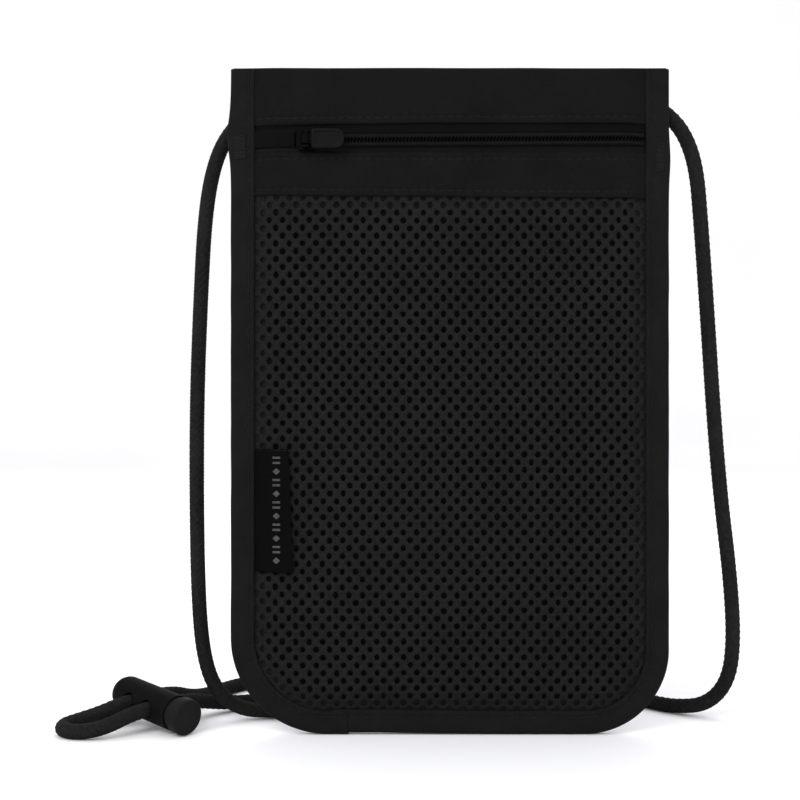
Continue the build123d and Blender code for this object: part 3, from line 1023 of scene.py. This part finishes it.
def make_bartack(name, node):
    """Dense zigzag block over the cord's sewn end."""
    low, high = box_mm(node)
    threads = Threads()
    rng = random.Random(11)
    pitch = 0.42
    count = int((high.z - low.z) / pitch)
    y = SEAM_Y - BIND_LEVEL - 0.18
    for i in range(count):
        z = low.z + (high.z - low.z) * i / count
        start = (low.x + 0.25 * rng.uniform(0, 1), y, z + 0.1 * rng.uniform(-1, 1))
        end = (high.x - 0.25 * rng.uniform(0, 1), y, z + 0.3 + 0.1 * rng.uniform(-1, 1))
        threads.add(start, end, (0, -1, 0), radius=0.2, arch=0.22)
    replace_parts(threads.make(name, "thread", "bartack_thread"), node)


band_rows()
binding_rows()
make_bartack("bartack_threads_left", "bartack_left")
make_bartack("bartack_threads_right", "bartack_right")


# ---- zipper ----
COIL_PITCH = 1.15
COIL_WIRE = 0.28
CHAIN_SLOPE = 0.006
CHAIN_CORD_R = 0.68
CHAIN_CORD_UP = 1.0        # height of its centre above the tape
TAPE_T = 0.35
TAPE_REACH = 9.6           # distances from the chain's centre line: tape, teeth, cord
COIL_OUT = 1.02
CHAIN_CORD_OUT = 1.33
COIL_START = 0.2           # distance of the first tooth from the row's end
COIL_STRETCH = 0.995
TAB_T = 0.45


def tape_level(x, z):
    return level_at(x, z, TAPE_LEVELS)


def chain_z(x):
    """Centre line of the chain, which climbs a little to the right."""
    return ZIP_Z + CHAIN_SLOPE * (x - SLIDER_HIGH.x)


def make_tape(name, node, side):
    """Zipper tape, with a corded edge beside the teeth."""
    z_far = ZIP_Z + side * TAPE_REACH
    xs = across(HEIGHT, 2.0, COLS)
    points = []
    steps = 20
    for i in range(steps + 1):
        row = []
        for x in xs:
            z_near = chain_z(x) + side * 0.03
            z = z_near + (z_far - z_near) * i / steps
            cord_edge = 0.26 * math.exp(-(((z - z_near) / 0.5) ** 2))
            rib = 0.14 * math.exp(-((((z - z_near) * side - 2.9) / 0.4) ** 2))
            row.append((x, SEAM_Y - tape_level(x, z) - cord_edge - rib, z))
        points.append(row)
    tape = sheet_object(name, points, TAPE_T, offset=-side)
    # the lower tape gets the lighter copy: painted light against the chain's shadow
    finish_piece(tape, "pouch", "zipper_tape", "zipper_tape" if side > 0 else "zipper_tape_low")
    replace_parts(tape, node)
    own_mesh(tape)


def make_coil(name, node, side):
    """Row of coil teeth: one filament wound along the tape's edge, and its stitching."""
    low, high = box_mm(node)
    turns = int((high.x - low.x) / COIL_PITCH)
    per_turn = 14
    total = turns * per_turn
    half_z = 0.88
    half_y = 0.55
    points = []
    phase = 0.5 if side > 0 else 0.0
    for i in range(total + 1):
        turn = i / per_turn
        angle = 2 * math.pi * (turn + phase)
        x = low.x + COIL_START + COIL_PITCH * turn * COIL_STRETCH
        y = SEAM_Y - (tape_level(x, ZIP_Z) + COIL_WIRE + half_y)
        z = chain_z(x) + side * COIL_OUT
        square = 1.0 / (abs(math.cos(angle)) ** 4 + abs(math.sin(angle)) ** 4) ** 0.25
        y += half_y * square * math.sin(angle)
        z += half_z * square * math.cos(angle)
        points.append((x, y, z))
    points = np.array(points)
    _, normals, sides = line_frames(points)
    verts = []
    for p, n, s in zip(points, normals, sides):
        for k in range(RING_SIDES):
            angle = 2 * math.pi * k / RING_SIDES
            verts.append(tuple(p + (n * math.cos(angle) + s * math.sin(angle)) * COIL_WIRE))
    coil = mesh_object(name, verts, tube_faces(len(points), RING_SIDES))
    finish_piece(coil, "pouch", "zipper_coil")
    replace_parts(coil, node)

    for piece in (coil, make_chain_cord(name + "_cord", low.x, high.x, side)):
        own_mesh(piece)


def make_chain_cord(name, x0, x1, side):
    """Cord stitched along the tops of the teeth, dented a little between them."""
    per_tooth = 5
    count = int((x1 - x0) / COIL_PITCH) * per_tooth
    ring_sides = 8
    verts = []
    for i in range(count + 1):
        x = x0 + COIL_START + COIL_PITCH * i / per_tooth
        dent = 0.09 * math.cos(2 * math.pi * i / per_tooth)
        radius = CHAIN_CORD_R * (1 + dent + 0.06 * wobble(x, side, 2.5, 95.0))
        y = SEAM_Y - tape_level(x, ZIP_Z) - CHAIN_CORD_UP
        z = chain_z(x) + side * CHAIN_CORD_OUT
        for k in range(ring_sides):
            angle = 2 * math.pi * k / ring_sides
            verts.append((x, y + radius * math.sin(angle), z + radius * math.cos(angle)))
    cord = mesh_object(name, verts, tube_faces(count + 1, ring_sides))
    return finish_piece(cord, "pouch", "zipper_coil", "coil_thread")


make_tape("tape_upper_weave", "zipper_tape_upper", 1.0)
make_tape("tape_lower_weave", "zipper_tape_lower", -1.0)
make_coil("coil_upper_teeth", "zipper_coil_upper", 1.0)
make_coil("coil_lower_teeth", "zipper_coil_lower", -1.0)


def make_end_tab():
    """Folded fabric tab over the end of the chain."""
    z0, z1 = TAB_LOW.z, TAB_HIGH.z
    x0, x1 = TAB_LOW.x - 1.0, TAB_HIGH.x
    rows = 12
    cols = 28
    points = []
    for i in range(rows + 1):
        z = z0 + (z1 - z0) * i / rows
        edge = min(z - z0, z1 - z) / (z1 - z0) * 2
        row = []
        for c in range(cols + 1):
            x = x0 + (x1 - x0) * c / cols
            near = smooth_step(x1 - x, 0.0, 0.6)
            level = tape_level(x, z) + 0.35 + 0.5 * near * smooth_step(edge, -0.1, 0.35)
            level -= stitch_dip(x - (x1 - 1.3), z, 0.5, 0.15)
            row.append((x, SEAM_Y - level, z))
        points.append(row)
    tab = sheet_object("end_tab_cloth", points, TAB_T)
    # the tab gets the darker copy of the shell cloth: painted shade
    finish_piece(tab, "pouch", "nylon_shell", "tab_cloth")
    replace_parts(tab, "zipper_end_tab")


make_end_tab()


# ---- puller grip: D-shaped, with a raised rim ----
def make_grip():
    """Moulding as rings of (inset, y) stations, from its back to its front."""
    x0, x1 = GRIP_LOW.x, GRIP_HIGH.x
    half = (GRIP_HIGH.z - GRIP_LOW.z) / 2
    centre_z = (GRIP_HIGH.z + GRIP_LOW.z) / 2
    y_front, y_back = GRIP_LOW.y, GRIP_HIGH.y
    middle_y = (y_front + y_back) / 2

    def loop(inset):
        outline = []
        big = 2.9 - min(inset, 2.4)
        small = max(0.9 - inset * 0.4, 0.3)
        corners = (
            (x1 - inset - big, centre_z + half - inset - big, big, 0.0),
            (x0 + inset + small, centre_z + half - inset - small, small, 90.0),
            (x0 + inset + small, centre_z - half + inset + small, small, 180.0),
            (x1 - inset - big, centre_z - half + inset + big, big, 270.0),
        )
        for cx, cz, radius, start in corners:
            for k in range(9):
                angle = math.radians(start + 90.0 * k / 8)
                outline.append((cx + radius * math.cos(angle), cz + radius * math.sin(angle)))
        return outline

    stations = (
        (1.5, y_back), (0.35, y_back), (0.1, y_back - 0.12), (0.0, y_back - 0.35),
        (0.0, middle_y), (0.0, y_front + 0.4), (0.08, y_front + 0.16), (0.3, y_front),
        (0.75, y_front), (0.95, y_front + 0.1), (1.05, y_front + 0.3), (1.5, y_front + 0.34),
    )
    verts = [(x, y, z) for inset, y in stations for x, z in loop(inset)]
    faces = tube_faces(len(stations), len(verts) // len(stations))
    grip = mesh_object("puller_grip_moulding", verts, faces)
    finish_piece(grip, "puller", "puller_rubber")
    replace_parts(grip, "puller_grip")


make_grip()


# ---- side label ----
LABEL_T = 0.2


def label_surface(x, z):
    """The label lies on the mesh and lifts a little towards its folded free edge."""
    free = smooth_step(x, LABEL_LOW.x, LABEL_HIGH.x)
    tuck = 0.45 * (1 - smooth_step(x, LABEL_LOW.x + 0.1, LABEL_LOW.x + 1.2))
    return mesh_level(x, z) + 0.35 - tuck + 0.75 * free + 0.12 * wobble(x, z, 12.0, 90.0)


def make_label():
    """Folded woven label: front leaf, fold at the free edge, back leaf."""
    x0, x1 = LABEL_LOW.x - 0.5, LABEL_HIGH.x
    z0, z1 = LABEL_LOW.z, LABEL_HIGH.z
    rows = 44
    cols = 20
    points = []
    for i in range(rows + 1):
        z = z0 + (z1 - z0) * i / rows
        slant = 1.7 * (1 - i / rows) - 2.4
        reach = x1 + slant
        row = []
        for c in range(cols + 1):
            x = x0 + (reach - x0) * c / cols
            row.append((x, SEAM_Y - label_surface(x, z) - 0.3, z))
        for k in range(1, 6):
            angle = math.pi * k / 6
            y = SEAM_Y - label_surface(reach, z) - 0.05 - 0.25 * math.cos(angle)
            row.append((reach + 0.28 * math.sin(angle), y, z))
        for c in range(cols + 1):
            x = reach - (reach - x0) * c / cols
            row.append((x, SEAM_Y - label_surface(x, z) + 0.2, z))
        points.append(row)
    label = sheet_object("side_label_weave", points, LABEL_T, offset=0.0)
    finish_piece(label, "pouch", "label_woven")
    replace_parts(label, "side_label")


def make_label_motif():
    """A plain woven pattern of lozenges and bars down the label, in paler thread."""
    threads = Threads()
    x_mid = (LABEL_LOW.x + LABEL_HIGH.x) / 2 + 0.8
    z_low, z_high = LABEL_LOW.z + 4.0, LABEL_HIGH.z - 3.6
    pitch = 3.3
    count = int((z_high - z_low) / pitch)
    line = 0.24
    half_h = 1.1
    widest = 1.3
    steps = int(2 * half_h / line)
    for i in range(count + 1):
        centre = z_low + (z_high - z_low) * i / count
        for k in range(steps + 1):
            dz = -half_h + 2 * half_h * k / steps
            if i % 2 == 0:
                half_w = widest * (1 - abs(dz) / half_h)
            else:
                half_w = widest if abs(dz) > half_h * 0.55 else 0.0
            if half_w < 0.2:
                continue
            z = centre + dz
            a = (x_mid - half_w, SEAM_Y - label_surface(x_mid - half_w, z) - 0.41, z)
            b = (x_mid + half_w, SEAM_Y - label_surface(x_mid + half_w, z) - 0.41, z)
            threads.add(a, b, (0, -1, 0), radius=0.11, arch=0.04)
    threads.make("side_label_motif", "label_woven", "label_thread")


def make_label_painted_highlight():
    """Painted highlight along the label's top edge: a line of paler thread where the fold edge catches
    light.
    """
    threads = Threads()
    z = LABEL_HIGH.z - 0.35
    x = LABEL_LOW.x + 0.5
    while x < LABEL_HIGH.x - 3.4:
        level = label_surface(x, z) + 0.46
        start = (x, SEAM_Y - level, z)
        threads.add(start, (x + 0.95, SEAM_Y - level, z), (0, -1, 0), radius=0.13, arch=0.05)
        x += 1.05
    threads.make("side_label_painted_highlight", "label_woven", "thread")


make_label()
make_label_motif()
make_label_painted_highlight()


# ---- CAD parts that keep their own shape ----
for cad_node, cad_material in (
    ("slider_body", "slider_metal"),
    ("puller_link", "slider_metal"),
    ("cord_lock_body", "lock_plastic"),
    # the button's lighter copy of the lock plastic is painted light
    ("cord_lock_button", "lock_button"),
    ("cord_lock_spring", "spring_steel"),
):
    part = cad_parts[cad_node]
    part.data.materials.clear()
    part.data.materials.append(MATERIALS[cad_material])
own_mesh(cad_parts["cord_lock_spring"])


# ---- floor, backdrop and light ----
def make_stage():
    """Pale floor that curves up into a backdrop."""
    front_y, back_y, radius, top = -1600.0, 1500.0, 700.0, 2600.0
    half = 2600.0
    profile = [(front_y, 0.0), (back_y, 0.0)]
    for k in range(1, 17):
        angle = math.pi / 2 * k / 16
        profile.append((back_y + radius * math.sin(angle), radius * (1 - math.cos(angle))))
    profile.append((back_y + radius, top))
    below = 0.02           # keeps the floor just clear of the pouch
    verts = [(x, y, z - below) for y, z in profile for x in (-half, half)]
    floor = mesh_object("floor", verts, grid_faces(len(profile), 2))
    n = Nodes("floor", 0.9, 0.1)
    patch = n.noise(300.0, 2.0)
    n.add_height(n.noise(3.0, 2.0), 1.0)
    n.colour(patch, 0.86, 0.9)
    floor.data.materials.append(n.bump(0.02))


LIGHT_AIM = (0.0, 0.0, 0.1)


def area_light(name, place, size, power):
    data = bpy.data.lights.new(name, "AREA")
    data.shape = "SQUARE"
    data.size = size
    data.energy = power
    light = bpy.data.objects.new(name, data)
    light.location = place
    aim = Vector(LIGHT_AIM) - Vector(place)
    light.rotation_euler = aim.to_track_quat("-Z", "Y").to_euler()
    bpy.context.scene.collection.objects.link(light)


def make_light():
    world = bpy.data.worlds.new("studio")
    world.use_nodes = True
    world.node_tree.nodes["Background"].inputs["Color"].default_value = (1.0, 1.0, 1.0, 1.0)
    world.node_tree.nodes["Background"].inputs["Strength"].default_value = 1.1
    bpy.context.scene.world = world
    area_light("key", (-0.55, -0.75, 0.85), 0.6, 7.0)
    area_light("fill", (0.8, -0.7, 0.45), 0.8, 2.0)
    area_light("back", (0.0, 0.8, 0.9), 0.8, 3.0)
    bpy.context.scene.view_settings.view_transform = "Standard"


make_stage()
make_light()
